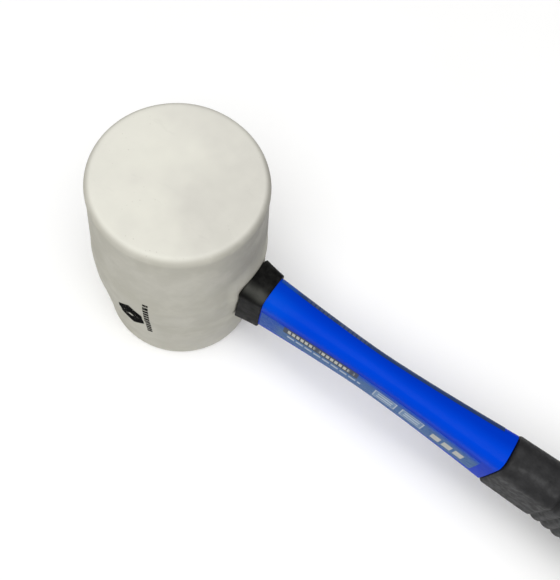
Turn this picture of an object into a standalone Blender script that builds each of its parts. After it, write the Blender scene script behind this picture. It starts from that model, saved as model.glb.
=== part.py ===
"""Rubber mallet with a fibreglass handle.

Frame: origin at the centre of the lower striking face, +Z up through the
head, +X along the handle. Metres.
"""
import math

import bmesh
import bpy

MM = 0.001
CLEARANCE = 0.3 * MM          # gap kept between two pieces that touch
OVERSHOOT = 4.0 * MM          # how far a cutter reaches past what it cuts
LOFT_PITCH = 6.0 * MM         # widest spacing of sections along the handle
CORNER_STEPS = 7              # facets in each rounded corner of a section
SHARP_ANGLE = math.radians(35)  # edges that turn more than this are shaded sharp

# Rubber head: a barrel with a raised belt round its middle
HEAD_LENGTH = 109.0 * MM
FACE_RADIUS = 35.0 * MM       # at the rim of each striking face
SHOULDER_RADIUS = 37.0 * MM   # just beside the belt
BELT_RADIUS = 37.7 * MM
BELT_HALF = 6.0 * MM
SHOULDER_HALF = 12.5 * MM
RIM_ROUND = 3.8 * MM
RIM_STEPS = 5
HEAD_SEGMENTS = 64
MID = HEAD_LENGTH / 2         # height of the handle's centre line

# Handle jacket: half width along Y, half height along Z
NECK_X = 47.5 * MM
NECK = (7.8 * MM, 14.4 * MM)
WAIST_X = 100.0 * MM
WAIST = (6.3 * MM, 12.5 * MM)
SHOULDER_X = 162.0 * MM
SHOULDER = (8.3 * MM, 15.2 * MM)
FLARE_POWER = 1.5
CORNER = 3.4 * MM

# Stem of the jacket inside the head, spread by the wedge at its far end
STEM = (6.6 * MM, 13.0 * MM)
STEM_ROOT_X = 34.0 * MM
SPREAD_X = -16.0 * MM
STEM_END_X = -35.2 * MM
SPREAD = 1.0 * MM

# Fibreglass bar inside the jacket
CORE = (4.2 * MM, 9.2 * MM)
CORE_CORNER = 2.0 * MM
CORE_START_X = SPREAD_X - 1.5 * MM
CORE_END_X = 276.0 * MM

# Resin that bonds the stem into the eye
BOND_WALL = 1.0 * MM
BOND_X = (-33.0 * MM, 33.0 * MM)

# Collar that butts flat against the barrel where the handle leaves it
COLLAR_X = (37.2 * MM, NECK_X - CLEARANCE)
COLLAR_HEAD = (9.95 * MM, 16.15 * MM)
COLLAR_OUTER = (8.6 * MM, 15.1 * MM)
COLLAR_CORNER = 3.8 * MM
COLLAR_EDGE = 0.5 * MM
GROOVE = (7.2 * MM, 13.7 * MM)     # the jacket under the collar
SEAT_X = COLLAR_X[0] - CLEARANCE   # flat on the barrel behind the collar
SEAT = (10.5 * MM, 16.5 * MM)

# Labels on the two broad sides of the handle; the far one wraps over its corner
LABEL_X = (48.5 * MM, 156.0 * MM)
LABEL_THICKNESS = 0.25 * MM
LABEL_NEAR_Z = (-9.0 * MM, 6.2 * MM)
LABEL_FAR_LOW = -1.4 * MM
LABEL_WRAP = math.radians(78)
LABEL_WRAP_STEPS = 6

# Grip: the jacket steps down to a tang that the soft sleeve covers
TANG = (6.9 * MM, 13.6 * MM)
JACKET_END_X = 291.7 * MM
SLEEVE_X = (162.5 * MM, 292.0 * MM)
SLEEVE_EDGE = 1.2 * MM
SLEEVE_STATIONS = (            # x, half width, half height
    (162.5 * MM, 9.5 * MM, 16.4 * MM),
    (185.0 * MM, 9.8 * MM, 16.4 * MM),
    (222.0 * MM, 11.6 * MM, 18.2 * MM),
    (266.0 * MM, 10.4 * MM, 16.4 * MM),
    (292.0 * MM, 12.6 * MM, 20.2 * MM),
)
SLEEVE_CORNER = 7.5 * MM

# End cap with its hanging hole
CAP_X = (SLEEVE_X[1] + CLEARANCE, 314.0 * MM)
CAP = (12.6 * MM, 20.2 * MM)
CAP_TANG_START_X = CORE_END_X + 1.0 * MM
CAP_CORNER_SHARE = 0.9        # a section's corner, at most, against its half width
CAP_DOME_POWER = 0.7
CAP_DOME_STEPS = 9
HANGING_HOLE_X = 302.5 * MM
HANGING_HOLE_RADIUS = 4.5 * MM
HANGING_HOLE_SEGMENTS = 24


def clear_scene():
    for item in list(bpy.data.objects):
        bpy.data.objects.remove(item, do_unlink=True)


def material(name, color, roughness, metallic=0.0):
    made = bpy.data.materials.new(name)
    made.use_nodes = True
    shader = made.node_tree.nodes["Principled BSDF"]
    shader.inputs["Base Color"].default_value = (*color, 1.0)
    shader.inputs["Roughness"].default_value = roughness
    shader.inputs["Metallic"].default_value = metallic
    return made


def add_object(name, mesh_builder, finish=None):
    """Turn a bmesh into a named object with outward faces and smooth sides."""
    bmesh.ops.recalc_face_normals(mesh_builder, faces=mesh_builder.faces)
    mesh = bpy.data.meshes.new(name)
    mesh_builder.to_mesh(mesh)
    mesh_builder.free()
    mesh.shade_smooth()
    mesh.set_sharp_from_angle(angle=SHARP_ANGLE)
    item = bpy.data.objects.new(name, mesh)
    bpy.context.scene.collection.objects.link(item)
    if finish is None:
        item.hide_render = True
        item.display_type = "WIRE"
    else:
        mesh.materials.append(finish)
    return item


def cut(item, cutter):
    modifier = item.modifiers.new("cut_by_" + cutter.name, "BOOLEAN")
    modifier.operation = "DIFFERENCE"
    modifier.solver = "EXACT"
    modifier.object = cutter


def rounded_section(x, half_width, half_height, corner):
    """Rounded rectangle in the plane at x, centred on the handle's line."""
    points = []
    for quarter in range(4):
        sign_y = 1 if quarter in (0, 3) else -1
        sign_z = 1 if quarter in (0, 1) else -1
        centre_y = sign_y * (half_width - corner)
        centre_z = sign_z * (half_height - corner)
        for step in range(CORNER_STEPS + 1):
            angle = math.pi / 2 * (quarter + step / CORNER_STEPS)
            y = centre_y + corner * math.cos(angle)
            z = centre_z + corner * math.sin(angle)
            points.append((x, y, MID + z))
    return points


def bridge(builder, first, second):
    count = len(first)
    for index in range(count):
        after = (index + 1) % count
        builder.faces.new((first[index], first[after], second[after], second[index]))


def loft_solid(name, sections, finish=None):
    """Solid through closed sections, capped at both ends."""
    builder = bmesh.new()
    rings = [[builder.verts.new(point) for point in section] for section in sections]
    for first, second in zip(rings, rings[1:]):
        bridge(builder, first, second)
    builder.faces.new(rings[0])
    builder.faces.new(rings[-1])
    return add_object(name, builder, finish)


def loft_tube(name, outer, inner, finish):
    """Tube between outer and inner sections, both listed from low x to high x."""
    builder = bmesh.new()
    sections = list(outer) + list(reversed(inner))
    rings = [[builder.verts.new(point) for point in section] for section in sections]
    for index, ring in enumerate(rings):
        bridge(builder, ring, rings[(index + 1) % len(rings)])
    return add_object(name, builder, finish)


def lathe(name, profile, segments, finish=None):
    """Solid of revolution about Z from (radius, z) points, bottom to top."""
    builder = bmesh.new()
    rings = []
    for radius, z in profile:
        ring = []
        for index in range(segments):
            angle = 2 * math.pi * index / segments
            ring.append(builder.verts.new((radius * math.cos(angle), radius * math.sin(angle), z)))
        rings.append(ring)
    for first, second in zip(rings, rings[1:]):
        bridge(builder, first, second)
    builder.faces.new(rings[0])
    builder.faces.new(rings[-1])
    return add_object(name, builder, finish)


def stations(start, end):
    """Evenly spaced places from start to end, both included."""
    count = math.ceil((end - start) / LOFT_PITCH)
    return [start + (end - start) * index / count for index in range(count + 1)]


def ease(amount):
    return (1 - math.cos(math.pi * amount)) / 2


def head_profile():
    """(radius, z) points of the barrel from the lower face to the upper one."""
    rim_centre = FACE_RADIUS - RIM_ROUND
    lower = []
    for step in range(RIM_STEPS + 1):
        angle = math.pi / 2 * step / RIM_STEPS
        radius = rim_centre + RIM_ROUND * math.sin(angle)
        lower.append((radius, RIM_ROUND * (1 - math.cos(angle))))
    lower.append((SHOULDER_RADIUS, MID - SHOULDER_HALF))
    lower.append((BELT_RADIUS, MID - BELT_HALF))
    upper = [(radius, HEAD_LENGTH - z) for radius, z in reversed(lower)]
    return lower + upper


def handle_size(x):
    """Half width and half height of the bare handle between collar and grip."""
    if x < WAIST_X:
        end = NECK
        amount = (WAIST_X - x) / (WAIST_X - NECK_X)
    else:
        end = SHOULDER
        amount = (x - WAIST_X) / (SHOULDER_X - WAIST_X)
    flare = amount ** FLARE_POWER
    return tuple(waist + (limit - waist) * flare for waist, limit in zip(WAIST, end))


def stem_section(x, grow=0.0):
    """Section of the stem inside the head, grown outwards by a gap or a wall."""
    amount = max(0.0, (SPREAD_X - x) / (SPREAD_X - STEM_END_X))
    wider = SPREAD * amount + grow
    return rounded_section(x, STEM[0] + wider, STEM[1] + wider, CORNER + grow)


def core_section(x, grow=0.0):
    """Section of the bar or of its bore, which follows the spread stem."""
    amount = max(0.0, (SPREAD_X - x) / (SPREAD_X - STEM_END_X))
    wider = SPREAD * amount + grow
    return rounded_section(x, CORE[0] + wider, CORE[1] + wider, CORE_CORNER + grow)


def sleeve_size(x):
    for low, high in zip(SLEEVE_STATIONS, SLEEVE_STATIONS[1:]):
        if x <= high[0]:
            amount = ease((x - low[0]) / (high[0] - low[0]))
            return tuple(a + (b - a) * amount for a, b in zip(low[1:], high[1:]))
    return SLEEVE_STATIONS[-1][1:]


def build_head(finish):
    head = lathe("rubber_head", head_profile(), HEAD_SEGMENTS, finish)
    past = BELT_RADIUS + OVERSHOOT
    wall = BOND_WALL + 2 * CLEARANCE
    sections = [stem_section(x, wall) for x in (-past, SPREAD_X, SEAT_X)]
    sections += [rounded_section(x, *SEAT, CORNER) for x in (SEAT_X, past)]
    cut(head, loft_solid("eye_cutter", sections))


def build_eye_bond(finish):
    places = (BOND_X[0], SPREAD_X, BOND_X[1])
    outer = [stem_section(x, CLEARANCE + BOND_WALL) for x in places]
    inner = [stem_section(x, CLEARANCE) for x in places]
    loft_tube("eye_bond", outer, inner, finish)


def build_wedge(finish):
    sections = [core_section(x) for x in (STEM_END_X + CLEARANCE, CORE_START_X - CLEARANCE)]
    loft_solid("retaining_wedge", sections, finish)


def build_core(finish):
    sections = [core_section(x) for x in (CORE_START_X, SPREAD_X, CORE_END_X)]
    loft_solid("fibreglass_core", sections, finish)


def build_jacket(finish):
    outer = [stem_section(x) for x in (STEM_END_X, SPREAD_X, STEM_ROOT_X)]
    outer += [rounded_section(x, *GROOVE, CORNER) for x in (COLLAR_X[0], NECK_X)]
    for x in stations(NECK_X, SHOULDER_X):
        outer.append(rounded_section(x, *handle_size(x), CORNER))
    outer.append(rounded_section(SHOULDER_X, *TANG, CORNER))
    outer.append(rounded_section(JACKET_END_X, *TANG, CORNER))
    inner = [core_section(x, CLEARANCE) for x in (STEM_END_X, SPREAD_X, JACKET_END_X)]
    loft_tube("handle_jacket", outer, inner, finish)


def collar_section(x, drop=0.0):
    amount = (x - COLLAR_X[0]) / (COLLAR_X[1] - COLLAR_X[0])
    width, height = (a + (b - a) * amount - drop for a, b in zip(COLLAR_HEAD, COLLAR_OUTER))
    return rounded_section(x, width, height, COLLAR_CORNER - drop)


def build_collar(finish):
    low, high = COLLAR_X
    outer = [
        collar_section(low, COLLAR_EDGE),
        collar_section(low + COLLAR_EDGE),
        collar_section(high - COLLAR_EDGE),
        collar_section(high, COLLAR_EDGE),
    ]
    groove = [size + CLEARANCE for size in GROOVE]
    inner = [rounded_section(x, *groove, CORNER + CLEARANCE) for x in COLLAR_X]
    loft_tube("collar", outer, inner, finish)


def near_film(x, offset):
    """(y, z) points of a line up the -Y side of the handle, lifted by offset."""
    y = -handle_size(x)[0] - offset
    return [(y, MID + z) for z in LABEL_NEAR_Z]


def far_film(x, offset):
    """(y, z) points of a line up the +Y side and over its upper corner."""
    width, height = handle_size(x)
    radius = CORNER + offset
    points = [(width + offset, MID + LABEL_FAR_LOW)]
    for step in range(LABEL_WRAP_STEPS + 1):
        angle = LABEL_WRAP * step / LABEL_WRAP_STEPS
        y = width - CORNER + radius * math.cos(angle)
        points.append((y, MID + height - CORNER + radius * math.sin(angle)))
    return points


def build_label(name, film_line, finish):
    """Thin film between a line on the handle and the same line lifted further."""
    sections = []
    for x in stations(*LABEL_X):
        inner = film_line(x, CLEARANCE)
        outer = film_line(x, CLEARANCE + LABEL_THICKNESS)
        sections.append([(x, *point) for point in inner + outer[::-1]])
    loft_solid(name, sections, finish)


def build_sleeve(finish):
    outer = []
    for x in stations(*SLEEVE_X):
        width, height = sleeve_size(x)
        outer.append(rounded_section(x, width, height, SLEEVE_CORNER))
    first = SLEEVE_X[0]
    width, height = sleeve_size(first)
    size = (width - SLEEVE_EDGE, height - SLEEVE_EDGE)
    front = rounded_section(first, *size, SLEEVE_CORNER - SLEEVE_EDGE)
    outer[0] = rounded_section(first + SLEEVE_EDGE, width, height, SLEEVE_CORNER)
    outer.insert(0, front)
    tang = [size + CLEARANCE for size in TANG]
    inner = [rounded_section(x, *tang, CORNER + CLEARANCE) for x in SLEEVE_X]
    loft_tube("grip_sleeve", outer, inner, finish)


def build_end_cap(finish):
    """Domed cap whose tang plugs the jacket's bore behind the bar."""
    sections = [core_section(CAP_TANG_START_X), core_section(CAP_X[0])]
    length = CAP_X[1] - CAP_X[0]
    for step in range(CAP_DOME_STEPS):
        angle = math.pi / 2 * step / CAP_DOME_STEPS
        shrink = math.cos(angle) ** CAP_DOME_POWER
        x = CAP_X[0] + length * math.sin(angle)
        width, height = (size * shrink for size in CAP)
        corner = min(SLEEVE_CORNER, CAP_CORNER_SHARE * width)
        sections.append(rounded_section(x, width, height, corner))
    cap = loft_solid("end_cap", sections, finish)
    hole = []
    for y in (-CAP[0] - OVERSHOOT, CAP[0] + OVERSHOOT):
        ring = []
        for index in range(HANGING_HOLE_SEGMENTS):
            angle = 2 * math.pi * index / HANGING_HOLE_SEGMENTS
            x = HANGING_HOLE_X + HANGING_HOLE_RADIUS * math.cos(angle)
            ring.append((x, y, MID + HANGING_HOLE_RADIUS * math.sin(angle)))
        hole.append(ring)
    cut(cap, loft_solid("hanging_hole_cutter", hole))


def main():
    clear_scene()
    rubber = material("white_rubber", (0.62, 0.60, 0.53), 0.75)
    black_rubber = material("black_rubber", (0.02, 0.02, 0.02), 0.6)
    blue = material("blue_plastic", (0.0, 0.06, 0.66), 0.25)
    glass_fibre = material("glass_fibre", (0.55, 0.52, 0.40), 0.5)
    resin = material("resin", (0.45, 0.38, 0.22), 0.3)
    dark_plastic = material("dark_plastic", (0.03, 0.03, 0.035), 0.45)
    film = material("label_film", (0.12, 0.2, 0.42), 0.3)

    build_head(rubber)
    build_eye_bond(resin)
    build_wedge(dark_plastic)
    build_core(glass_fibre)
    build_jacket(blue)
    build_collar(black_rubber)
    build_label("label_near", near_film, film)
    build_label("label_far", far_film, film)
    build_sleeve(black_rubber)
    build_end_cap(dark_plastic)


main()
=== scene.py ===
"""Looks of the rubber mallet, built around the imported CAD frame. Metres.

Each CAD node except the fibreglass bar gets a finer mesh of the same size and
place; every material is procedural, in object coordinates.
"""
import math

import bmesh
import bpy
from mathutils import Matrix, Vector, noise


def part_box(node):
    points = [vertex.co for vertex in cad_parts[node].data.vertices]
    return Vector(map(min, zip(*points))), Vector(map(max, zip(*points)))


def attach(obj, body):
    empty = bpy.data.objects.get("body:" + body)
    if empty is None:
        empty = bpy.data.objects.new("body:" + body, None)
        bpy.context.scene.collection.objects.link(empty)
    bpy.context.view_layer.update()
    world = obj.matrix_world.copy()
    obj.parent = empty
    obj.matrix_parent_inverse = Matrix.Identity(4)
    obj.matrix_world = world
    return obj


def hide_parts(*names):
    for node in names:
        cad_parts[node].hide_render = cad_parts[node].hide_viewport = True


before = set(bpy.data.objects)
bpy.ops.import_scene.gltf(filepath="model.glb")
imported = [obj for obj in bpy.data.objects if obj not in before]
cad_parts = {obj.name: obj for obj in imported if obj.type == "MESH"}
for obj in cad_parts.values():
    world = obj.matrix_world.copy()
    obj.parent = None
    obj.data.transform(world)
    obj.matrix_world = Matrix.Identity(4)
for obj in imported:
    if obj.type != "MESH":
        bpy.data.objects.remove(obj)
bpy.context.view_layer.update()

MM = 0.001
QUARTER = math.pi / 2
CLEARANCE = 0.3 * MM          # gap that the CAD keeps between pieces that touch
SHARP_DEGREES = 40            # edges that turn more than this are shaded sharp

# ---------------------------------------------------------------- sizes
# Barrel of the head: radii in the middle of the belt, beside it and at the rims
HEAD_LOW, HEAD_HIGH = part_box("rubber_head")
HEAD_LENGTH = HEAD_HIGH.z - HEAD_LOW.z
MID = (HEAD_LOW.z + HEAD_HIGH.z) / 2
BELT_RADIUS = HEAD_HIGH.y
SHOULDER_RADIUS = BELT_RADIUS - 0.7 * MM
FACE_RADIUS = BELT_RADIUS - 2.7 * MM
BELT_HALF = 6.0 * MM
SHOULDER_HALF = 12.5 * MM
RIM_ROUND = 3.8 * MM
RIM_STEPS = 14
WALL_HOLLOW = 0.25 * MM       # how far the side draws in below a rim
WALL_STEPS = 26               # rows between a rim and the windows round the eye
HEAD_COLUMNS = 192
HEAD_SHARP_DEGREES = 60
FACE_RINGS = 8                # across a striking face
HEAD_WAVER = 0.14 * MM        # how far the moulded side strays from true
WAVER_SCALE = 1.6
WAVER_SHIFT = Vector((3.1, 0.7, 5.3))

# Window of the barrel's grid that holds a mouth of the eye
WINDOW_COLUMNS = 10           # each side of the middle
WINDOW_ROWS = 30
WINDOW_HALF = 18.5 * MM
WINDOW_ANGLE = 2 * math.pi * WINDOW_COLUMNS / HEAD_COLUMNS
WINDOW_BLEND = 4
MOUTH_ROUND = 1.0 * MM
MOUTH_STEPS = 6

# Handle: half width along Y, half height along Z
NECK_X = 47.5 * MM
NECK = (7.8 * MM, 14.4 * MM)
WAIST_X = 100.0 * MM
WAIST = (6.3 * MM, 12.5 * MM)
SHOULDER_X = 162.0 * MM
SHOULDER = (8.3 * MM, 15.2 * MM)
FLARE_POWER = 1.5
CORNER = 3.4 * MM
CROWN = (0.5 * MM, 0.9 * MM)  # how far the broad and the narrow sides bulge
GROOVE = (7.2 * MM, 13.7 * MM)
TANG = (6.9 * MM, 13.6 * MM)
STEM = (6.6 * MM, 13.0 * MM)
STEM_ROOT_X = 34.0 * MM
SPREAD_X = -16.0 * MM
SPREAD = 1.0 * MM
EYE_WALL = 1.6 * MM
BOND_OUTSET = 1.3 * MM
CORE = (4.2 * MM, 9.2 * MM)
CORE_CORNER = 2.0 * MM
WEDGE_BEVEL = 0.6 * MM
SHELL_PITCH = 0.9 * MM        # between sections of the bare handle
JACKET_LOW, JACKET_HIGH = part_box("handle_jacket")
STEM_END_X = JACKET_LOW.x
JACKET_END_X = JACKET_HIGH.x
SEAT_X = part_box("collar")[0].x - CLEARANCE

# Collar
COLLAR_X = (SEAT_X, NECK_X + 0.4 * MM)
COLLAR_HEAD = (9.95 * MM, 16.15 * MM)
COLLAR_OUTER = (8.6 * MM, 15.1 * MM)
COLLAR_CORNER = 3.8 * MM
COLLAR_LEAN = 1.4 * MM        # how much further out the top of its head end starts
LEAN_POWER = 1.5
COLLAR_EDGE = 0.6 * MM
COLLAR_EDGE_STEPS = 6
COLLAR_HEAD_EDGE = 0.25 * MM
COLLAR_HEAD_EDGE_STEPS = 4
COLLAR_PITCH = 0.8 * MM
COLLAR_PINCH = 0.1 * MM       # how much it narrows in the middle of its length
COLLAR_CROWN = (0.3 * MM, 0.8 * MM)
COLLAR_SPIGOT = 0.8 * MM
SWELL_ABOVE = 10.0 * MM       # where the rubber's swelling over the collar dies out
SWELL_BESIDE = 4.0 * MM

# Labels
NEAR_LOW, NEAR_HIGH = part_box("label_near")
LABEL_X = (NEAR_LOW.x, NEAR_HIGH.x)
FAR_LOW, FAR_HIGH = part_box("label_far")
LABEL_WRAP = math.radians(78)
WRAP_STEPS = 12
FAR_SIDE_STEPS = 9            # on the flat part of the far film
FILM = 0.12 * MM
FILM_PITCH = 1.2 * MM

# Grip sleeve and end cap
SLEEVE_LOW, SLEEVE_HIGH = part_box("grip_sleeve")
SLEEVE_X = (SLEEVE_LOW.x, SLEEVE_HIGH.x)
SLEEVE_EDGE = 1.4 * MM
SLEEVE_EDGE_STEPS = 6
SLEEVE_PITCH = 0.5 * MM
SLEEVE_STATIONS = (           # x, half width, half height
    (162.5 * MM, 9.5 * MM, 16.4 * MM),
    (185.0 * MM, 9.8 * MM, 16.4 * MM),
    (222.0 * MM, 11.6 * MM, 18.2 * MM),
    (266.0 * MM, 10.4 * MM, 16.4 * MM),
    (292.0 * MM, 12.6 * MM, 20.2 * MM),
)
SLEEVE_CORNER = 7.5 * MM
RIB_X = (182.0 * MM, 280.0 * MM)
RIB_PITCH = 5.0 * MM
RIB_DEPTH = 0.9 * MM
RIB_POWER = 0.6               # below 1 the grooves are narrower than the ridges
CAP_X = (SLEEVE_X[1], 314.0 * MM)
CAP = (12.6 * MM, 20.2 * MM)
CAP_STEPS = 26
CAP_CORNER_SHARE = 0.9        # a section's corner, at most, against its half width
CAP_DOME_POWER = 0.7
CAP_SHARP_DEGREES = 50
HANGING_HOLE_X = 302.5 * MM
HANGING_HOLE_RADIUS = 4.5 * MM
HANGING_HOLE_FLARE = 1.4 * MM
HANGING_HOLE_COLUMNS = 64
HANGING_HOLE_PROFILE = (      # share of the cap's half width, share of the flare
    (-2.0, 2.2), (-0.86, 1.0), (-0.72, 0.2), (-0.55, 0.0),
    (0.55, 0.0), (0.72, 0.2), (0.86, 1.0), (2.0, 2.2),
)

ACROSS_STEPS = 16             # points on a narrow side of a handle section
UPRIGHT_STEPS = 32            # and on a broad side


# ---------------------------------------------------------------- mesh tools
def ease(amount):
    return (1 - math.cos(math.pi * min(1.0, max(0.0, amount)))) / 2


def spaced(start, end, pitch):
    count = max(1, math.ceil((end - start) / pitch))
    return [start + (end - start) * index / count for index in range(count + 1)]


def quarter_round(steps):
    """(1 - sin, 1 - cos) of evenly spaced angles from 0 to 90 degrees."""
    turns = [QUARTER * step / steps for step in range(steps + 1)]
    return [(1 - math.sin(turn), 1 - math.cos(turn)) for turn in turns]


def circle(count):
    """(cos, sin) of evenly spaced angles round a full turn."""
    turns = [2 * math.pi * index / count for index in range(count)]
    return [(math.cos(turn), math.sin(turn)) for turn in turns]


def add_piece(name, points, faces, sharp_degrees=SHARP_DEGREES):
    """Object from points and faces, facing outwards and shaded smooth."""
    mesh = bpy.data.meshes.new(name)
    mesh.from_pydata(points, [], faces)
    builder = bmesh.new()
    builder.from_mesh(mesh)
    bmesh.ops.recalc_face_normals(builder, faces=builder.faces)
    builder.to_mesh(mesh)
    builder.free()
    mesh.shade_smooth()
    mesh.set_sharp_from_angle(angle=math.radians(sharp_degrees))
    piece = bpy.data.objects.new(name, mesh)
    bpy.context.scene.collection.objects.link(piece)
    return piece


def ring_faces(first, second):
    """Quads between two closed rings of point numbers."""
    count = len(first)
    after = [(index + 1) % count for index in range(count)]
    return [(first[i], first[j], second[j], second[i]) for i, j in enumerate(after)]


def loft(name, sections, closed=False, sharp_degrees=SHARP_DEGREES):
    """Solid through closed sections; closed joins the last one to the first."""
    points = [point for section in sections for point in section]
    size = len(sections[0])
    rings = [list(range(i * size, (i + 1) * size)) for i in range(len(sections))]
    faces = []
    for first, second in zip(rings, rings[1:] + rings[:1] if closed else rings[1:]):
        faces += ring_faces(first, second)
    if not closed:
        faces += [rings[0], rings[-1]]
    return add_piece(name, points, faces, sharp_degrees)


def outline(half_width, half_height, corner, across=ACROSS_STEPS, upright=UPRIGHT_STEPS):
    """(y, z) points round a rounded rectangle, from the middle of one corner.

    across and upright count the steps along its narrow and its broad sides.
    """
    points = []
    arc = corner * QUARTER / 2
    for quarter in range(4):
        broad = quarter % 2 == 0
        steps = upright if broad else across
        out, along = (half_width, half_height) if broad else (half_height, half_width)
        straight = 2 * (along - corner)
        for step in range(steps):
            place = (straight + 2 * arc) * step / steps
            if place < arc:
                angle = place / corner - QUARTER / 2
                normal = out - corner + corner * math.cos(angle)
                side = corner - along + corner * math.sin(angle)
            elif place <= arc + straight:
                normal = out
                side = corner - along + place - arc
            else:
                angle = (place - arc - straight) / corner
                normal = out - corner + corner * math.cos(angle)
                side = along - corner + corner * math.sin(angle)
            turned = ((normal, side), (-side, normal), (-normal, -side), (side, -normal))
            points.append(turned[quarter])
    return points


def section(x, half_width, half_height, corner):
    return [(x, y, MID + z) for y, z in outline(half_width, half_height, corner)]


# ---------------------------------------------------------------- head
def barrel_radius(z):
    """Radius of the barrel's side at height z: slightly hollow cone, soft step, belt."""
    off = abs(z - MID)
    if off < SHOULDER_HALF:
        amount = ease((off - BELT_HALF) / (SHOULDER_HALF - BELT_HALF))
        return BELT_RADIUS + (SHOULDER_RADIUS - BELT_RADIUS) * amount
    amount = min(1.0, (off - SHOULDER_HALF) / (HEAD_LENGTH / 2 - RIM_ROUND - SHOULDER_HALF))
    hollow = WALL_HOLLOW * math.sin(math.pi * amount ** 3)
    return SHOULDER_RADIUS + (FACE_RADIUS - SHOULDER_RADIUS) * amount - hollow


def waver(angle, z):
    spot = Vector((math.cos(angle), math.sin(angle), z / BELT_RADIUS))
    return HEAD_WAVER * noise.noise(WAVER_SCALE * spot + WAVER_SHIFT)


def lean(up):
    """How far out the collar's head end starts at a height above the middle."""
    share = (1 + up / COLLAR_HEAD[1]) / 2
    return COLLAR_LEAN * min(1.0, max(0.0, share)) ** LEAN_POWER


def swell(y, z):
    """How far the rubber stands out where the handle has pushed it, most at the top."""
    half_width, half_height = COLLAR_HEAD
    up = z - MID
    above = 1 - ease((up - half_height) / SWELL_ABOVE)
    beside = 1 - ease((abs(y) - half_width) / SWELL_BESIDE)
    return lean(up) * above * beside


def barrel_point(angle, z, radius=None):
    """Point on the barrel, cut flat at the seat of the collar."""
    reach = (barrel_radius(z) if radius is None else radius) + waver(angle, z)
    x, y = reach * math.cos(angle), reach * math.sin(angle)
    if abs(z - MID) <= WINDOW_HALF and abs(y) < reach * math.sin(WINDOW_ANGLE):
        x = min(x, SEAT_X)
    return (x + swell(y, z) if x > 0 else x, y, z)


def head_rows():
    """(radius, z) of each ring of the barrel, from the lower rim to the upper."""
    rim = []
    for inset, rise in quarter_round(RIM_STEPS):
        rim.append((FACE_RADIUS - RIM_ROUND * inset, HEAD_LOW.z + RIM_ROUND * rise))
    wall = []
    low, high = HEAD_LOW.z + RIM_ROUND, MID - WINDOW_HALF
    for step in range(1, WALL_STEPS):
        z = low + (high - low) * step / WALL_STEPS
        wall.append((barrel_radius(z), z))
    window = []
    for step in range(WINDOW_ROWS + 1):
        z = MID + WINDOW_HALF * (2 * step / WINDOW_ROWS - 1)
        window.append((barrel_radius(z), z))
    lower = rim + wall
    upper = [(radius, 2 * MID - z) for radius, z in reversed(lower)]
    return lower + window + upper, len(lower)


def spread(x):
    """How much wider the wedge has made the stem, and the eye to suit, at x."""
    return SPREAD * max(0.0, (SPREAD_X - x) / (SPREAD_X - STEM_END_X))


def wall_size(x):
    """Half width, half height and corner of the eye's wall at x."""
    wider = EYE_WALL + spread(x)
    return STEM[0] + wider, STEM[1] + wider, CORNER + EYE_WALL


def build_mouth(points, faces, edge, side):
    """Surface from the window's edge into the eye; returns its innermost ring."""
    width, height, corner = wall_size(side * BELT_RADIUS)
    steps = (2 * WINDOW_COLUMNS, WINDOW_ROWS)
    frame_ring = outline(WINDOW_ANGLE, WINDOW_HALF, 0, *steps)
    mouth = outline(width + MOUTH_ROUND, height + MOUTH_ROUND, corner + MOUTH_ROUND, *steps)
    rings = []
    for blend in range(1, WINDOW_BLEND + 1):
        ring = []
        for (angle, z), (y, lip_z) in zip(frame_ring, mouth):
            lip_angle = math.asin(y / barrel_radius(MID + lip_z))
            amount = blend / WINDOW_BLEND
            angle = angle + (lip_angle - angle) * amount
            z = MID + z + (lip_z - z) * amount
            ring.append(barrel_point(angle if side > 0 else math.pi - angle, z))
        rings.append(ring)
    lip = rings[-1]
    for widening, sinking in quarter_round(MOUTH_STEPS)[1:]:
        out, depth = MOUTH_ROUND * widening, MOUTH_ROUND * sinking
        inner = outline(width + out, height + out, corner + out, *steps)
        rings.append([(x - side * depth, y, MID + z) for (x, _, _), (y, z) in zip(lip, inner)])
    last = edge
    for ring in rings:
        numbers = list(range(len(points), len(points) + len(ring)))
        points += ring
        faces += ring_faces(last, numbers)
        last = numbers
    return last


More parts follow.
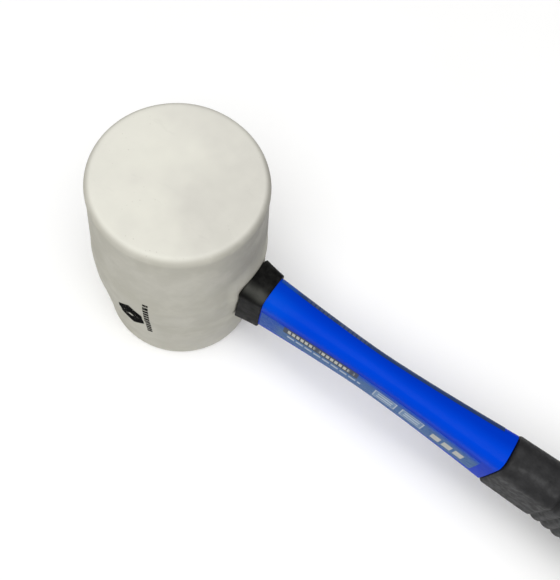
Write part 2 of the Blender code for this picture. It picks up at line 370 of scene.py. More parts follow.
def build_head():
    """Barrel with rounded rims and belt, and the eye right through it."""
    rows, first_row = head_rows()
    points = []
    for radius, z in rows:
        for column in range(HEAD_COLUMNS):
            points.append(barrel_point(2 * math.pi * column / HEAD_COLUMNS, z, radius))

    def number(row, column):
        return row * HEAD_COLUMNS + column % HEAD_COLUMNS

    def in_window(row, column):
        near = min(column, HEAD_COLUMNS - 1 - column)
        opposite = abs(column + 0.5 - HEAD_COLUMNS / 2)
        inside = near < WINDOW_COLUMNS or opposite < WINDOW_COLUMNS
        return inside and first_row <= row < first_row + WINDOW_ROWS

    faces = []
    for row in range(len(rows) - 1):
        for column in range(HEAD_COLUMNS):
            if not in_window(row, column):
                faces.append((number(row, column), number(row, column + 1),
                              number(row + 1, column + 1), number(row + 1, column)))

    mouths = []
    top = first_row + WINDOW_ROWS
    wide = WINDOW_COLUMNS
    for side in (-1, 1):
        path = [(row, wide) for row in range(first_row, top)]
        path += [(top, column) for column in range(wide, -wide, -1)]
        path += [(row, -wide) for row in range(top, first_row, -1)]
        path += [(first_row, column) for column in range(-wide, wide)]
        middle = 0 if side > 0 else HEAD_COLUMNS // 2
        edge = [number(row, middle + side * column) for row, column in path]
        mouths.append(build_mouth(points, faces, edge, side))
    waist = outline(*wall_size(SPREAD_X), 2 * WINDOW_COLUMNS, WINDOW_ROWS)
    numbers = list(range(len(points), len(points) + len(waist)))
    points += [(SPREAD_X, y, MID + z) for y, z in waist]
    faces += ring_faces(mouths[0], numbers) + ring_faces(numbers, mouths[1])

    for row, level in ((0, HEAD_LOW.z), (len(rows) - 1, HEAD_HIGH.z)):
        last = [number(row, column) for column in range(HEAD_COLUMNS)]
        for step in range(1, FACE_RINGS):
            radius = (FACE_RADIUS - RIM_ROUND) * (1 - step / FACE_RINGS)
            numbers = list(range(len(points), len(points) + HEAD_COLUMNS))
            points += [(radius * x, radius * y, level) for x, y in circle(HEAD_COLUMNS)]
            faces += ring_faces(last, numbers)
            last = numbers
        faces.append(last)
    return add_piece("mallet_head", points, faces, HEAD_SHARP_DEGREES)


# ---------------------------------------------------------------- handle
def handle_size(x):
    """Half width and half height of the bare handle between collar and grip."""
    if x < WAIST_X:
        end = NECK
        amount = (WAIST_X - x) / (WAIST_X - NECK_X)
    else:
        end = SHOULDER
        amount = (x - WAIST_X) / (SHOULDER_X - WAIST_X)
    flare = amount ** FLARE_POWER
    return tuple(waist + (limit - waist) * flare for waist, limit in zip(WAIST, end))


def crowned(x, y, z):
    """Point of the bare handle whose sides bulge a little between their corners."""
    width, height = handle_size(x)
    flat_y, flat_z = width - CORNER, height - CORNER
    bulge_y = CROWN[0] * (flat_z ** 2 - z ** 2) / height ** 2
    bulge_z = CROWN[1] * (flat_y ** 2 - y ** 2) / width ** 2
    return (x, y * (1 + bulge_y / width), MID + z * (1 + bulge_z / height))


def stem_section(x, grow=0.0):
    wider = spread(x) + grow
    return section(x, STEM[0] + wider, STEM[1] + wider, CORNER + grow)


def core_section(x, grow=0.0):
    wider = spread(x) + grow
    return section(x, CORE[0] + wider, CORE[1] + wider, CORE_CORNER + grow)


def build_shell():
    """Blue jacket: stem in the head, groove of the collar, bare handle, tang."""
    outer = [stem_section(x) for x in (STEM_END_X, SPREAD_X, STEM_ROOT_X)]
    outer += [section(x, *GROOVE, CORNER) for x in (SEAT_X, NECK_X)]
    for x in spaced(NECK_X, SHOULDER_X, SHELL_PITCH):
        points = outline(*handle_size(x), CORNER)
        outer.append([crowned(x, y, z) for y, z in points])
    outer += [section(x, *TANG, CORNER) for x in (SHOULDER_X, JACKET_END_X)]
    inner = [core_section(x, CLEARANCE) for x in (JACKET_END_X, SPREAD_X, STEM_END_X)]
    return loft("handle_shell", outer + inner, closed=True)


def build_bond():
    low, high = (corner.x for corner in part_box("eye_bond"))
    outer = [stem_section(x, BOND_OUTSET) for x in (low, SPREAD_X, high)]
    inner = [stem_section(x, CLEARANCE) for x in (high, SPREAD_X, low)]
    return loft("eye_resin", outer + inner, closed=True)


def build_wedge():
    """Wedge whose outer end is chamfered all round."""
    low, high = (corner.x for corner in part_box("retaining_wedge"))
    return loft("wedge", [core_section(low, -WEDGE_BEVEL),
                          core_section(low + WEDGE_BEVEL), core_section(high)])


def collar_section(x, drop):
    """Section of the collar at x, its sides bulging a little."""
    low, high = COLLAR_X
    amount = (x - low) / (high - low)
    width, height = (a + (b - a) * amount for a, b in zip(COLLAR_HEAD, COLLAR_OUTER))
    pinch = COLLAR_PINCH * math.sin(math.pi * amount) + drop
    points = []
    for y, z in outline(width - pinch, height - pinch, COLLAR_CORNER - drop):
        lift_y = COLLAR_CROWN[0] * (1 - (z / height) ** 2)
        lift_z = COLLAR_CROWN[1] * (1 - (y / width) ** 2)
        out = x + lean(z) * (1 - amount)
        points.append((out, y * (1 + lift_y / width), MID + z * (1 + lift_z / height)))
    return points


def build_collar():
    """Moulded rubber collar with rounded edges, and a spigot that fills the eye."""
    low, high = COLLAR_X
    spigot = [size + COLLAR_SPIGOT for size in GROOVE]
    sections = [section(x, *spigot, CORNER) for x in (STEM_ROOT_X, low)]
    for drop, run in quarter_round(COLLAR_HEAD_EDGE_STEPS):
        sections.append(collar_section(low + COLLAR_HEAD_EDGE * run, COLLAR_HEAD_EDGE * drop))
    for x in spaced(low + COLLAR_HEAD_EDGE, high - COLLAR_EDGE, COLLAR_PITCH)[1:-1]:
        sections.append(collar_section(x, 0.0))
    for run, drop in quarter_round(COLLAR_EDGE_STEPS):
        sections.append(collar_section(high - COLLAR_EDGE * run, COLLAR_EDGE * drop))
    sections += [section(x, *GROOVE, CORNER) for x in (high, STEM_ROOT_X)]
    return loft("collar_ring", sections, closed=True)


def near_film(x):
    """(y, z, ny, nz) points and normals up the -Y side of the handle."""
    width = handle_size(x)[0]
    low, high = NEAR_LOW.z - MID, NEAR_HIGH.z - MID
    return [(-width, z, -1.0, 0.0) for z in spaced(low, high, FILM_PITCH)]


def far_film(x):
    """The same up the +Y side and over its upper corner."""
    width, height = handle_size(x)
    flat_y, flat_z = width - CORNER, height - CORNER
    low = FAR_LOW.z - MID
    line = []
    for step in range(FAR_SIDE_STEPS):
        line.append((width, low + (flat_z - low) * step / FAR_SIDE_STEPS, 1.0, 0.0))
    for step in range(WRAP_STEPS + 1):
        angle = LABEL_WRAP * step / WRAP_STEPS
        out = (math.cos(angle), math.sin(angle))
        line.append((flat_y + CORNER * out[0], flat_z + CORNER * out[1], *out))
    return line


def build_label(name, film_line):
    """Film glued to the handle, following its crown."""
    sections = []
    for x in spaced(*LABEL_X, FILM_PITCH):
        line = film_line(x)
        skin = []
        for lift in (FILM, 0.0):
            placed = [crowned(x, y + lift * ny, z + lift * nz) for y, z, ny, nz in line]
            skin.append(placed)
        sections.append(skin[0] + skin[1][::-1])
    return loft(name, sections)


# ---------------------------------------------------------------- grip
def sleeve_size(x):
    for low, high in zip(SLEEVE_STATIONS, SLEEVE_STATIONS[1:]):
        if x <= high[0]:
            amount = ease((x - low[0]) / (high[0] - low[0]))
            return tuple(a + (b - a) * amount for a, b in zip(low[1:], high[1:]))
    return SLEEVE_STATIONS[-1][1:]


def rib_depth(x):
    """Depth of the ribbing at x: round ridges with narrow grooves between them."""
    low, high = RIB_X
    if not low < x < high:
        return 0.0
    fade = ease((x - low) / RIB_PITCH) * ease((high - x) / RIB_PITCH)
    wave = abs(math.sin(math.pi * (x - low) / RIB_PITCH))
    return RIB_DEPTH * fade * (1 - wave ** RIB_POWER)


def build_grip():
    """Soft sleeve with a lip in front and ribs round the hand."""
    low, high = SLEEVE_X
    places = []
    for drop, run in quarter_round(SLEEVE_EDGE_STEPS):
        places.append((low + SLEEVE_EDGE * run, SLEEVE_EDGE * drop))
    places += [(x, 0.0) for x in spaced(low + SLEEVE_EDGE, high, SLEEVE_PITCH)[1:]]
    sections = []
    for x, drop in places:
        width, height = (size - drop - rib_depth(x) for size in sleeve_size(x))
        sections.append(section(x, width, height, SLEEVE_CORNER - drop))
    inner = [section(x, *TANG, CORNER) for x in (high, low)]
    return loft("grip", sections + inner, closed=True)


def flared_cutter():
    """Plug along Y for the hanging hole, wider where it meets the cap's skin."""
    sections = []
    for place, flare in HANGING_HOLE_PROFILE:
        radius = HANGING_HOLE_RADIUS + HANGING_HOLE_FLARE * flare
        ring = []
        for along, up in circle(HANGING_HOLE_COLUMNS):
            ring.append((HANGING_HOLE_X + radius * along, place * CAP[0], MID + radius * up))
        sections.append(ring)
    return loft("hanging_hole_cutter", sections)


def build_cap():
    """Domed cap with a flared hanging hole; its plug closes the jacket's bore."""
    low, high = CAP_X
    plug_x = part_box("end_cap")[0].x
    sections = [core_section(plug_x), core_section(low)]
    for step in range(CAP_STEPS):
        angle = QUARTER * step / CAP_STEPS
        shrink = math.cos(angle) ** CAP_DOME_POWER
        x = low + (high - low) * math.sin(angle)
        width, height = (size * shrink for size in CAP)
        corner = min(SLEEVE_CORNER, CAP_CORNER_SHARE * width)
        sections.append(section(x, width, height, corner))
    cap = loft("cap", sections, sharp_degrees=CAP_SHARP_DEGREES)
    cutter = flared_cutter()
    modifier = cap.modifiers.new("hanging_hole", "BOOLEAN")
    modifier.operation = "DIFFERENCE"
    modifier.solver = "EXACT"
    modifier.object = cutter
    bpy.context.view_layer.update()
    graph = bpy.context.evaluated_depsgraph_get()
    mesh = bpy.data.meshes.new_from_object(cap.evaluated_get(graph))
    cap.modifiers.clear()
    cap.data = mesh
    mesh.shade_smooth()
    mesh.set_sharp_from_angle(angle=math.radians(CAP_SHARP_DEGREES))
    bpy.data.objects.remove(cutter, do_unlink=True)
    return cap


# ---------------------------------------------------------------- materials
class Graph:
    """Adds nodes to one material; sockets or numbers go in, sockets come out."""

    def __init__(self, name, roughness, specular, ior=1.5):
        self.material = bpy.data.materials.new(name)
        self.material.use_nodes = True
        self.tree = self.material.node_tree
        self.shader = self.tree.nodes["Principled BSDF"]
        self.shader.inputs["Roughness"].default_value = roughness
        self.shader.inputs["Specular IOR Level"].default_value = specular
        self.shader.inputs["IOR"].default_value = ior
        self.place = self.add("ShaderNodeTexCoord").outputs["Object"]

    def add(self, kind, **settings):
        node = self.tree.nodes.new(kind)
        for name, value in settings.items():
            setattr(node, name, value)
        return node

    def feed(self, socket, value):
        if isinstance(value, bpy.types.NodeSocket):
            self.tree.links.new(value, socket)
        elif isinstance(value, tuple) and len(value) == 3 and socket.type == "RGBA":
            socket.default_value = (*value, 1.0)
        else:
            socket.default_value = value

    def math(self, operation, first, second=0.0, clamp=False):
        node = self.add("ShaderNodeMath", operation=operation, use_clamp=clamp)
        self.feed(node.inputs[0], first)
        self.feed(node.inputs[1], second)
        return node.outputs[0]

    def axes(self):
        node = self.add("ShaderNodeSeparateXYZ")
        self.feed(node.inputs[0], self.place)
        return node.outputs

    def mapped(self, socket, numbers):
        node = self.add("ShaderNodeMapping")
        self.feed(node.inputs["Vector"], self.place)
        self.feed(node.inputs[socket], numbers)
        return node.outputs[0]

    def stretched(self, *scale):
        return self.mapped("Scale", scale)

    def noise(self, scale, detail=3.0, rough=0.5, place=None):
        node = self.add("ShaderNodeTexNoise")
        self.feed(node.inputs["Vector"], place or self.place)
        self.feed(node.inputs["Scale"], scale)
        self.feed(node.inputs["Detail"], detail)
        self.feed(node.inputs["Roughness"], rough)
        return node.outputs["Fac"]

    def cells(self, scale, feature="F1"):
        node = self.add("ShaderNodeTexVoronoi", feature=feature)
        self.feed(node.inputs["Vector"], self.place)
        self.feed(node.inputs["Scale"], scale)
        return node.outputs["Distance"]

    def span(self, value, low, high, start=0.0, end=1.0):
        """Smooth change from start to end while value goes from low to high."""
        node = self.add("ShaderNodeMapRange", interpolation_type="SMOOTHSTEP")
        for index, number in enumerate((value, low, high, start, end)):
            self.feed(node.inputs[index], number)
        return node.outputs[0]

    def mix(self, amount, first, second):
        node = self.add("ShaderNodeMix", data_type="RGBA")
        self.feed(node.inputs["Factor"], amount)
        self.feed(node.inputs["A"], first)
        self.feed(node.inputs["B"], second)
        return node.outputs["Result"]

    def within(self, value, low, high, soft):
        """1 between low and high, 0 outside, with soft edges."""
        rise = self.span(value, low - soft, low + soft)
        fall = self.span(value, high - soft, high + soft, 1.0, 0.0)
        return self.math("MULTIPLY", rise, fall)

    def bump(self, height, distance, strength=1.0, normal=None):
        node = self.add("ShaderNodeBump")
        self.feed(node.inputs["Strength"], strength)
        self.feed(node.inputs["Distance"], distance)
        self.feed(node.inputs["Height"], height)
        if normal:
            self.feed(node.inputs["Normal"], normal)
        return node.outputs[0]

    def finish(self, color, roughness=None, normal=None):
        self.feed(self.shader.inputs["Base Color"], color)
        if roughness:
            self.feed(self.shader.inputs["Roughness"], roughness)
        if normal:
            self.feed(self.shader.inputs["Normal"], normal)
        return self.material


BAR_START = 0.06              # of a bar's pitch
BAR_SOFT = 0.05


def bars(graph, place, first, pitch, share):
    """1 on bars that repeat with place and end at a share of their pitch."""
    turns = graph.math("DIVIDE", graph.math("SUBTRACT", place, first), pitch)
    part = graph.math("FRACT", turns)
    return graph.within(part, BAR_START, share, BAR_SOFT)


# Printed mark on the barrel: a plain nut and a strip of blocks beside it
MARK_ANGLE = math.radians(-87.8)
MARK_Z = 45.4 * MM
MARK_NUT = (1.2 * MM, 6.0 * MM)
MARK_TALL = 1.7               # how much taller the nut is than a regular one
MARK_BAR = (6.9 * MM, 9.4 * MM)
MARK_BAR_HALF = 18.0 * MM
MARK_BAR_UP = 2.6 * MM        # how far above the nut the bar is centred
MARK_BLOCKS = (3.1 * MM, 0.84)  # pitch of the bar's blocks, and the share they end at
MARK_SOFT = 0.12 * MM
MARK_END_SOFT = 0.15 * MM

# Shades of the rubber: the stretch of noise on the head, where the face's colour ends,
# and the painted shade above the collar, with the way it deepens and where it starts and is
# full
MOTTLE_SHIFT = (-6.5, 7.7, 5.7)
FACE_FADE = (FACE_RADIUS - 2.9 * MM, FACE_RADIUS - 0.5 * MM)
COLLAR_SHADE_SIDE = (0.94, 0.34)
COLLAR_SHADE_REACH = (17.0 * MM, 36.0 * MM)
COLLAR_SHADE_Z = (MID + 12.0 * MM, MID + 30.0 * MM)

# Painted light on the jacket: a painted highlight behind the collar, painted shade on its far
# half and low on its near side
HIGHLIGHT_REACH = 22.0 * MM
SHADED_HALF_Y = (-3.0 * MM, 3.0 * MM)
SHADED_SIDE_Y = (-5.5 * MM, -4.5 * MM)
SHADED_SIDE_Z = (MID + 6.5 * MM, MID + 9.8 * MM)

# Painted highlight along the upper corner of the collar, on its near side
GLINT_Y = (-COLLAR_HEAD[0] + 2.0 * MM, -3.5 * MM)
GLINT_SOFT = 2.0 * MM
GLINT_Z = (MID + 12.0 * MM, MID + 15.0 * MM)


def printed_mark(graph):
    """Mask of the mark, from the arc length round the barrel and the height."""
    x, y, z = graph.axes()
    angle = graph.math("ARCTAN2", y, x)
    across = graph.math("MULTIPLY", graph.math("SUBTRACT", angle, MARK_ANGLE), BELT_RADIUS)
    up = graph.math("SUBTRACT", z, MARK_Z)
    across_size = graph.math("ABSOLUTE", across)
    up_size = graph.math("ABSOLUTE", up)
    slant = graph.math("MULTIPLY", up_size, math.sin(math.radians(60)) / MARK_TALL)
    slant = graph.math("ADD", slant, graph.math("MULTIPLY", across_size, 0.5))
    hexagon = graph.math("MAXIMUM", slant, across_size)
    ring = graph.within(hexagon, *MARK_NUT, MARK_SOFT)
    bar = graph.within(across, *MARK_BAR, MARK_SOFT)
    low, high = MARK_BAR_UP - MARK_BAR_HALF, MARK_BAR_UP + MARK_BAR_HALF
    bar = graph.math("MULTIPLY", bar, graph.within(up, low, high, MARK_END_SOFT))
    bar = graph.math("MULTIPLY", bar, bars(graph, up, low, *MARK_BLOCKS))
    front = graph.math("LESS_THAN", y, 0.0)
    both = graph.math("MAXIMUM", ring, bar)
    return graph.math("MULTIPLY", both, front)


def head_rubber():
    """Off-white rubber: chalky mottling, specks, faint scuffs and moulding grain, with painted
    shade on its sides and above the collar.
    """
    graph = Graph("head_rubber", roughness=0.62, specular=0.5, ior=1.09)
    cloud = graph.span(graph.noise(38, 4, 0.6), 0.3, 0.7)
    broad = graph.noise(15, 4, 0.6, graph.mapped("Location", MOTTLE_SHIFT))
    broad = graph.span(broad, 0.36, 0.64)
    pale = graph.mix(broad, (0.635, 0.622, 0.566), (0.765, 0.757, 0.677))
    face = graph.mix(graph.math("MULTIPLY", cloud, 0.4), pale, (0.68, 0.665, 0.61))
    # painted shade: the sides get a darker copy of the face's colour, standing in for the
    # shade on them
    wall = graph.mix(cloud, (0.47, 0.458, 0.395), (0.51, 0.498, 0.44))
    x, y, z = graph.axes()
    squares = graph.math("ADD", graph.math("MULTIPLY", x, x), graph.math("MULTIPLY", y, y))
    radius = graph.math("SQRT", squares)
    end = graph.span(radius, *FACE_FADE, 1.0, 0.0)
    # painted shade: the side above the collar goes darker, in patches
    sideways = graph.math("ADD", graph.math("MULTIPLY", x, COLLAR_SHADE_SIDE[0]),
                          graph.math("MULTIPLY", y, COLLAR_SHADE_SIDE[1]))
    collar_shade = graph.math("MULTIPLY", graph.span(sideways, *COLLAR_SHADE_REACH),
                       graph.span(z, *COLLAR_SHADE_Z))
    patchy = graph.span(graph.noise(70, 4, 0.6), 0.25, 0.6, 0.7, 1.0)
    collar_shade = graph.math("MULTIPLY", collar_shade, patchy)
    wall = graph.mix(collar_shade, wall, (0.33, 0.32, 0.285))
    color = graph.mix(end, wall, face)
    patch = graph.span(graph.noise(90, 3, 0.6), 0.4, 0.75)
    color = graph.mix(graph.math("MULTIPLY", patch, 0.14), color, (0.84, 0.82, 0.74))
    specks = graph.span(graph.cells(420), 0.05, 0.14, 0.35, 0.0)
    rare = graph.span(graph.noise(60, 2), 0.52, 0.62)
    color = graph.mix(graph.math("MULTIPLY", specks, rare), color, (0.42, 0.40, 0.34))
    scuffs = graph.noise(1, 4, 0.7, graph.stretched(40, 150, 60))
    scuffs = graph.span(scuffs, 0.60, 0.74, 0.0, 0.16)
    color = graph.mix(scuffs, color, (0.5, 0.49, 0.45))
    mark = printed_mark(graph)
    wear = graph.span(graph.noise(900, 3, 0.7), 0.30, 0.38)
    color = graph.mix(graph.math("MULTIPLY", mark, wear), color, (0.002, 0.002, 0.002))
    roughness = graph.span(graph.noise(120, 3), 0.3, 0.7, 0.52, 0.7)
    roughness = graph.math("ADD", roughness, graph.math("MULTIPLY", mark, 0.4), clamp=True)
    grain = graph.bump(graph.noise(1500, 3, 0.6), 0.05 * MM, 0.35)
    waves = graph.bump(graph.noise(55, 2, 0.5), 0.5 * MM, 0.35, grain)
    return graph.finish(color, roughness, waves)


def blue_plastic():
    """Saturated moulded plastic with a faint flow pattern and fine scratches, a painted
    highlight behind the collar and painted shade on its far half and near side.
    """
    graph = Graph("blue_shell", roughness=0.26, specular=0.5, ior=1.07)
    flow = graph.span(graph.noise(1, 3, 0.55, graph.stretched(14, 60, 60)), 0.3, 0.7)
    color = graph.mix(flow, (0.0, 0.051, 0.61), (0.0, 0.058, 0.66))
    x, y, z = graph.axes()
    # painted highlight: the jacket goes paler just behind the collar
    jacket_highlight = graph.span(x, NECK_X, NECK_X + HIGHLIGHT_REACH, 0.6, 0.0)
    color = graph.mix(jacket_highlight, color, (0.001, 0.083, 0.66))
    # painted shade: the far half of the jacket goes deeper blue
    far_shade = graph.span(y, *SHADED_HALF_Y, 0.0, 0.65)
    color = graph.mix(far_shade, color, (0.0, 0.027, 0.46))
    # painted shade: a darker strip on the near side between the film's upper edge and the
    # corner
    side = graph.math("MULTIPLY", graph.span(z, *SHADED_SIDE_Z, 0.7, 0.0),
                      graph.span(y, *SHADED_SIDE_Y, 1.0, 0.0))
    color = graph.mix(side, color, (0.0, 0.028, 0.44))
    scratch = graph.noise(1, 2, 0.5, graph.stretched(60, 1800, 1800))
    roughness = graph.span(scratch, 0.55, 0.75, 0.18, 0.34)
    ripple = graph.bump(graph.noise(1, 2, 0.5, graph.stretched(60, 160, 160)), 0.25 * MM, 0.3)
    return graph.finish(color, roughness, ripple)


def collar_rubber():
    """Dusty black rubber with a painted highlight on its near upper corner."""
    graph = Graph("collar_black", roughness=0.38, specular=0.5, ior=1.09)
    dust = graph.span(graph.noise(150, 4, 0.65), 0.38, 0.72)
    color = graph.mix(dust, (0.004, 0.004, 0.004), (0.016, 0.016, 0.015))
    _, y, z = graph.axes()
    # painted highlight: lighter colour along the near upper corner
    corner = graph.within(y, *GLINT_Y, GLINT_SOFT)
    corner = graph.math("MULTIPLY", corner, graph.span(z, *GLINT_Z))
    collar_glint = graph.math("MULTIPLY", corner, graph.span(graph.noise(90, 3), 0.3, 0.6, 0.3, 1.0))
    color = graph.mix(collar_glint, color, (0.066, 0.067, 0.06))
    roughness = graph.span(graph.noise(300, 3), 0.3, 0.7, 0.32, 0.5)
    grain = graph.bump(graph.noise(2200, 3, 0.6), 0.03 * MM, 0.4)
    dents = graph.bump(graph.noise(260, 2), 0.2 * MM, 0.25, grain)
    return graph.finish(color, roughness, dents)


def grip_rubber():
    """Black grip rubber with a fine pebble, painted shade in its grooves and wear on the
    ridges.
    """
    graph = Graph("grip_black", roughness=0.6, specular=0.3)
    x = graph.axes()[0]
    turns = graph.math("DIVIDE", graph.math("SUBTRACT", x, RIB_X[0]), RIB_PITCH)
    off = graph.math("ABSOLUTE", graph.math("SUBTRACT", graph.math("FRACT", turns), 0.5))
    ribbed = graph.within(x, RIB_X[0] + RIB_PITCH, RIB_X[1] - RIB_PITCH, RIB_PITCH / 2)
    groove_shade = graph.math("MULTIPLY", graph.span(off, 0.36, 0.49), ribbed)
    ridge = graph.math("MULTIPLY", graph.span(off, 0.05, 0.3, 0.55, 0.0), ribbed)
    wear = graph.span(graph.noise(110, 4, 0.65), 0.4, 0.75)
    color = graph.mix(wear, (0.010, 0.010, 0.011), (0.024, 0.024, 0.025))
    color = graph.mix(ridge, color, (0.042, 0.042, 0.043))
    # painted shade: the grooves are darkened
    color = graph.mix(graph.math("MULTIPLY", groove_shade, 0.8), color, (0.002, 0.002, 0.002))
    roughness = graph.span(graph.noise(400, 3), 0.3, 0.7, 0.5, 0.7)
    pebble = graph.bump(graph.cells(1100, "SMOOTH_F1"), 0.12 * MM, 0.5)
    return graph.finish(color, roughness, pebble)


def cap_plastic():
    """Dark satin plastic with moulded grain."""
    graph = Graph("cap_plastic", roughness=0.42, specular=0.4)
    cloud = graph.span(graph.noise(80, 3), 0.3, 0.7)
    color = graph.mix(cloud, (0.016, 0.017, 0.019), (0.028, 0.029, 0.031))
    roughness = graph.span(graph.noise(500, 3), 0.3, 0.7, 0.34, 0.5)
    grain = graph.bump(graph.noise(1800, 4, 0.6), 0.04 * MM, 0.5)
    return graph.finish(color, roughness, grain)


def bar_material():
    """Glass fibres along X in a pale resin."""
    graph = Graph("glass_bar", roughness=0.4, specular=0.5)
    strands = graph.noise(1, 3, 0.6, graph.stretched(12, 1500, 1500))
    amount = graph.span(strands, 0.35, 0.65)
    color = graph.mix(amount, (0.46, 0.43, 0.27), (0.68, 0.66, 0.50))
    roughness = graph.span(strands, 0.3, 0.7, 0.3, 0.55)
    return graph.finish(color, roughness, graph.bump(strands, 0.05 * MM, 0.6))


def resin_material():
    """Amber casting resin with small bubbles."""
    graph = Graph("amber_resin", roughness=0.25, specular=0.5)
    cloud = graph.span(graph.noise(200, 3), 0.3, 0.7)
    color = graph.mix(cloud, (0.36, 0.25, 0.09), (0.52, 0.40, 0.19))
    bubbles = graph.cells(900)
    roughness = graph.span(bubbles, 0.0, 0.4, 0.5, 0.2)
    return graph.finish(color, roughness, graph.bump(bubbles, 0.1 * MM, 0.5))


# Print on the labels: places along X, and drops below the film's upper edge
PRINT_FADE_DROP = 5.0 * MM    # where the film's faded upper edge ends
PRINT_CLEAR = 5.0 * MM        # how long the fade before the print starts is
PRINT_DARK = (59.7 * MM, 96.5 * MM)
PRINT_DARK_DROP = (0.3 * MM, 6.2 * MM)
PRINT_WORDS = (61.7 * MM, 95.0 * MM)
PRINT_WORDS_DROP = (1.8 * MM, 4.9 * MM)
PRINT_BLOCKS = (2.1 * MM, 0.74)  # pitch, and the share of it that they end at
PRINT_WORD_GAPS = (17.0 * MM, 0.9)
PRINT_LINE = (62.0 * MM, 99.0 * MM)
PRINT_LINE_DROP = (8.0 * MM, 9.8 * MM)
PRINT_DASHES = (4.4 * MM, 0.86)
PRINT_BOXES = ((105.5 * MM, 116.5 * MM), (119.0 * MM, 130.0 * MM))
PRINT_BOX_DROP = (3.6 * MM, 11.5 * MM)
PRINT_BOX_RIM = 0.5 * MM
PRINT_STROKES = (2.0 * MM, 4.6 * MM)  # drops of the strokes in a box
PRINT_STROKE = 1.3 * MM
PRINT_STROKE_INSET = 1.8 * MM
PRINT_BADGE = (134.0 * MM, 151.0 * MM)
PRINT_BADGE_DROP = (6.0 * MM, 11.4 * MM)
PRINT_BADGE_SPOTS = 3
PRINT_BADGE_GAPS = (0.8 * MM, 0.6 * MM)  # before and after each spot
PRINT_SOFT = 0.15 * MM


def film_print(name, top, base, faded, ink):
    """Translucent film with plain bars and frames where a label has its print.

    ink is how strongly its bars and frames show.
    """
    graph = Graph(name, roughness=0.3, specular=0.5, ior=1.09)
    x, _, z = graph.axes()
    drop = graph.math("SUBTRACT", top, z)
    blotch = graph.span(graph.noise(1, 4, 0.6, graph.stretched(90, 300, 200)), 0.3, 0.7)
    color = graph.mix(blotch, base, tuple(1.12 * part for part in base))
    color = graph.mix(graph.span(drop, 0.0, PRINT_FADE_DROP, 1.0, 0.0), color, faded)
    clear = graph.span(x, PRINT_DARK[0] - PRINT_CLEAR, PRINT_DARK[0], 1.0, 0.0)
    color = graph.mix(graph.math("MULTIPLY", clear, 0.9), color, (0.012, 0.075, 0.37))

    def area(along, down):
        inside = graph.within(x, *along, PRINT_SOFT)
        return graph.math("MULTIPLY", inside, graph.within(drop, *down, PRINT_SOFT))

    def paint(mask, strength, shade):
        return graph.mix(graph.math("MULTIPLY", mask, strength), color, shade)

    dark = area(PRINT_DARK, PRINT_DARK_DROP)
    color = paint(dark, 0.85 * ink, (0.055, 0.06, 0.055))
    blocks = graph.math("MULTIPLY", bars(graph, x, PRINT_DARK[0], *PRINT_BLOCKS),
                        bars(graph, x, PRINT_DARK[0], *PRINT_WORD_GAPS))
    words = graph.math("MULTIPLY", blocks, area(PRINT_WORDS, PRINT_WORDS_DROP))
    color = paint(words, 0.8 * ink, (0.62, 0.62, 0.55))
    line = graph.math("MULTIPLY", bars(graph, x, PRINT_LINE[0], *PRINT_DASHES),
                      area(PRINT_LINE, PRINT_LINE_DROP))
    color = paint(line, 0.75 * ink, (0.48, 0.55, 0.62))
    top_edge, low_edge = PRINT_BOX_DROP
    for low, high in PRINT_BOXES:
        outside = area((low, high), PRINT_BOX_DROP)
        down = (top_edge + PRINT_BOX_RIM, low_edge - PRINT_BOX_RIM)
        inside = area((low + PRINT_BOX_RIM, high - PRINT_BOX_RIM), down)
        edge = graph.math("SUBTRACT", outside, inside, clamp=True)
        color = paint(inside, 0.25 * ink, (0.45, 0.58, 0.66))
        color = paint(edge, 0.8 * ink, (0.52, 0.58, 0.64))
        for start in PRINT_STROKES:
            down = (top_edge + start, top_edge + start + PRINT_STROKE)
            stroke = area((low + PRINT_STROKE_INSET, high - PRINT_STROKE_INSET), down)
            color = paint(stroke, 0.7 * ink, (0.55, 0.62, 0.68))
    low, high = PRINT_BADGE
    pitch = (high - low) / PRINT_BADGE_SPOTS
    for index in range(PRINT_BADGE_SPOTS):
        along = (low + pitch * index + PRINT_BADGE_GAPS[0],
                 low + pitch * (index + 1) - PRINT_BADGE_GAPS[1])
        spot = area(along, PRINT_BADGE_DROP)
        color = paint(spot, 0.85 * ink, (0.55, 0.54, 0.47))
    roughness = graph.span(graph.noise(240, 3), 0.3, 0.7, 0.22, 0.36)
    wrinkle = graph.noise(1, 2, 0.5, graph.stretched(80, 120, 120))
    return graph.finish(color, roughness, graph.bump(wrinkle, 0.1 * MM, 0.3))


# ---------------------------------------------------------------- studio
CAMERA_ELEVATION = 67.76
CAMERA_AZIMUTH = 19.15
CAMERA_ROLL = 16.38
CAMERA_DISTANCE = 331.3 * MM
CAMERA_RIGHT = 43.5 * MM
CAMERA_UP = -21.6 * MM
CAMERA_LENS = 47.0
SENSOR_WIDTH = 36             # millimetres, as the lens
HORIZON = 0.95                # strength of the sky low down and overhead
OVERHEAD = 0.20
HORIZON_BAND = (0.04, 0.16)   # sine of the elevation over which it dims
SKY_COLOR = (1.0, 0.995, 0.985, 1.0)
KEY_AIM = Vector((40.0 * MM, 0.0, MID))
KEY_DIRECTION = Vector((0.10, -0.24, 0.965)).normalized()
KEY_DISTANCE = 6.0
KEY_DIAMETER = 5.7
KEY_POWER = 380.0
FLOOR_RADII = (0.3, 1.0, 3.0)
FLOOR_COLUMNS = 96
FLOOR_DROP = 0.1 * MM         # keeps the floor clear of the lower face


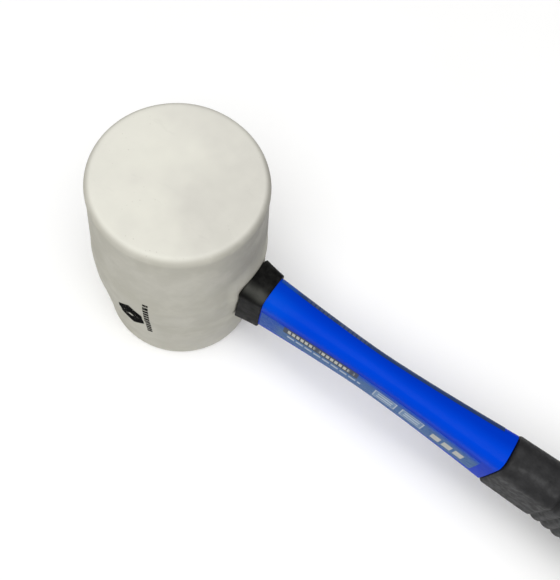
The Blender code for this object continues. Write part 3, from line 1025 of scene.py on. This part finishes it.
def build_camera():
    elevation = math.radians(CAMERA_ELEVATION)
    azimuth = math.radians(CAMERA_AZIMUTH)
    roll = math.radians(CAMERA_ROLL)
    back = Vector((
        math.sin(azimuth) * math.cos(elevation),
        -math.cos(azimuth) * math.cos(elevation),
        math.sin(elevation),
    ))
    level = Vector((math.cos(azimuth), math.sin(azimuth), 0))
    upward = back.cross(level)
    right = math.cos(roll) * level + math.sin(roll) * upward
    up = -math.sin(roll) * level + math.cos(roll) * upward
    data = bpy.data.cameras.new("camera")
    data.sensor_width = SENSOR_WIDTH
    data.lens = CAMERA_LENS
    camera = bpy.data.objects.new("camera", data)
    place = Vector((0, 0, MID)) + back * CAMERA_DISTANCE
    place += right * CAMERA_RIGHT
    place += up * CAMERA_UP
    rotation = Matrix((right, up, back)).transposed()
    camera.matrix_world = Matrix.Translation(place) @ rotation.to_4x4()
    bpy.context.scene.collection.objects.link(camera)
    bpy.context.scene.camera = camera


def build_key_light():
    """Large round soft light overhead, a little in front of the mallet."""
    data = bpy.data.lights.new("key", "AREA")
    data.shape = "DISK"
    data.size = KEY_DIAMETER
    data.energy = KEY_POWER
    lamp = bpy.data.objects.new("key", data)
    lamp.location = KEY_AIM + KEY_DIRECTION * KEY_DISTANCE
    lamp.rotation_euler = KEY_DIRECTION.to_track_quat("Z", "Y").to_euler()
    bpy.context.scene.collection.objects.link(lamp)


def build_world():
    """Sky that dims overhead, behind which the camera sees a plain pale backdrop."""
    world = bpy.data.worlds.new("studio")
    world.use_nodes = True
    tree = world.node_tree
    place = tree.nodes.new("ShaderNodeTexCoord")
    split = tree.nodes.new("ShaderNodeSeparateXYZ")
    ramp = tree.nodes.new("ShaderNodeMapRange")
    ramp.interpolation_type = "SMOOTHSTEP"
    for index, number in enumerate((*HORIZON_BAND, HORIZON, OVERHEAD), start=1):
        ramp.inputs[index].default_value = number
    seen = tree.nodes.new("ShaderNodeLightPath")
    strength = tree.nodes.new("ShaderNodeMix")
    strength.inputs["B"].default_value = HORIZON
    background = tree.nodes["Background"]
    background.inputs["Color"].default_value = SKY_COLOR
    tree.links.new(place.outputs["Generated"], split.inputs[0])
    tree.links.new(split.outputs["Z"], ramp.inputs[0])
    tree.links.new(seen.outputs["Is Camera Ray"], strength.inputs["Factor"])
    tree.links.new(ramp.outputs[0], strength.inputs["A"])
    tree.links.new(strength.outputs["Result"], background.inputs["Strength"])
    bpy.context.scene.world = world


def build_floor():
    """Wide pale table top, faintly uneven."""
    points = [(radius * x, radius * y, 0.0)
              for radius in FLOOR_RADII for x, y in circle(FLOOR_COLUMNS)]
    rings = [list(range(start, start + FLOOR_COLUMNS))
             for start in range(0, len(points), FLOOR_COLUMNS)]
    faces = [rings[0]]
    for inner, outer in zip(rings, rings[1:]):
        faces += ring_faces(inner, outer)
    floor = add_piece("floor", points, faces)
    floor.location.z = -FLOOR_DROP
    graph = Graph("table_paint", roughness=0.7, specular=0.15)
    shade = graph.span(graph.noise(9, 2), 0.3, 0.7)
    color = graph.mix(shade, (0.985, 0.985, 0.98), (1.0, 1.0, 0.995))
    floor.data.materials.append(graph.finish(color))


# ---------------------------------------------------------------- assembly
def place_piece(piece, node, material):
    """The piece stands for a CAD node and rides on the mallet's one body."""
    piece.data.materials.clear()
    piece.data.materials.append(material)
    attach(piece, "root")
    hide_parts(node)


build_camera()
build_world()
build_floor()
build_key_light()

cap_black = cap_plastic()
near_print = film_print("near_print", top=NEAR_HIGH.z, base=(0.05, 0.125, 0.295),
                        faded=(0.0, 0.06, 0.48), ink=1.0)
# The far film is real, but its dark colour is painted shade on the handle's far upper corner
shaded_far_print = film_print("shaded_far_print", top=FAR_HIGH.z, base=(0.025, 0.055, 0.15),
                       faded=(0.02, 0.045, 0.14), ink=0.07)
place_piece(build_head(), "rubber_head", head_rubber())
place_piece(build_shell(), "handle_jacket", blue_plastic())
place_piece(build_bond(), "eye_bond", resin_material())
place_piece(build_wedge(), "retaining_wedge", cap_black)
place_piece(build_collar(), "collar", collar_rubber())
place_piece(build_label("film_near", near_film), "label_near", near_print)
place_piece(build_label("film_far", far_film), "label_far", shaded_far_print)
place_piece(build_grip(), "grip_sleeve", grip_rubber())
place_piece(build_cap(), "end_cap", cap_black)

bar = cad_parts["fibreglass_core"]
bar.data.materials.clear()
bar.data.materials.append(bar_material())

bpy.context.scene.view_settings.view_transform = "Standard"
